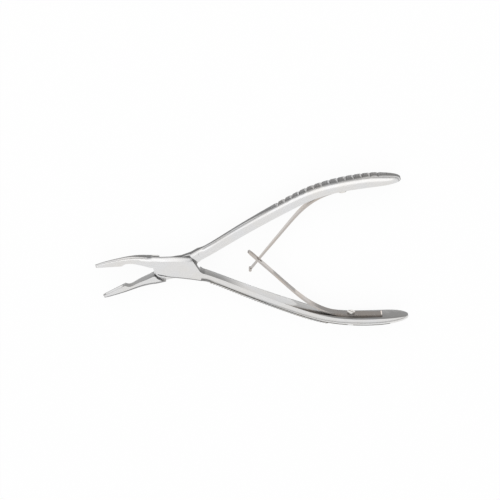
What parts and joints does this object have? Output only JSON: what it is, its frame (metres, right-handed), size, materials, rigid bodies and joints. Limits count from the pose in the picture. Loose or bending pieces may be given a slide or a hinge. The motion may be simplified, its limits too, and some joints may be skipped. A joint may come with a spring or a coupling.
{
  "type": "bone rongeur",
  "caption": "Spring-open bone rongeur with a lap joint, hollow biting jaws, flared handles and a pair of hooked leaf springs.",
  "frame": {"origin": "on the pivot axis, at the joint's flat back face", "axes": "+X runs from the joint towards the handle ends, between the two handles, +Z along the pivot from the back face to the front face, +Y towards the rear arm's handle"},
  "size_m": [0.1599, 0.085, 0.0114],
  "materials": {
    "arm_steel": "satin stainless steel with polished edges",
    "spring_steel": "satin stainless spring steel, slightly warm",
    "screw_steel": "turned stainless steel"
  },
  "bodies": {
    "rear_arm": {"rear_arm": "arm_steel", "rear_leaf_spring": "spring_steel", "rear_spring_screw": "screw_steel"},
    "front_arm": {"front_arm": "arm_steel", "pivot_screw": "screw_steel", "front_leaf_spring": "spring_steel", "front_spring_screw": "screw_steel"}
  },
  "joints": [
    {"name": "jaw_pivot", "type": "hinge", "parent": "rear_arm", "child": "front_arm", "pos_m": [0, 0, 0], "axis": [0, 0, 1], "range_deg": [0, 22.6], "stiffness_Nm_per_rad": 2, "springref_deg": -5.73, "deforming": ["front_leaf_spring", "rear_leaf_spring"]}
  ]
}
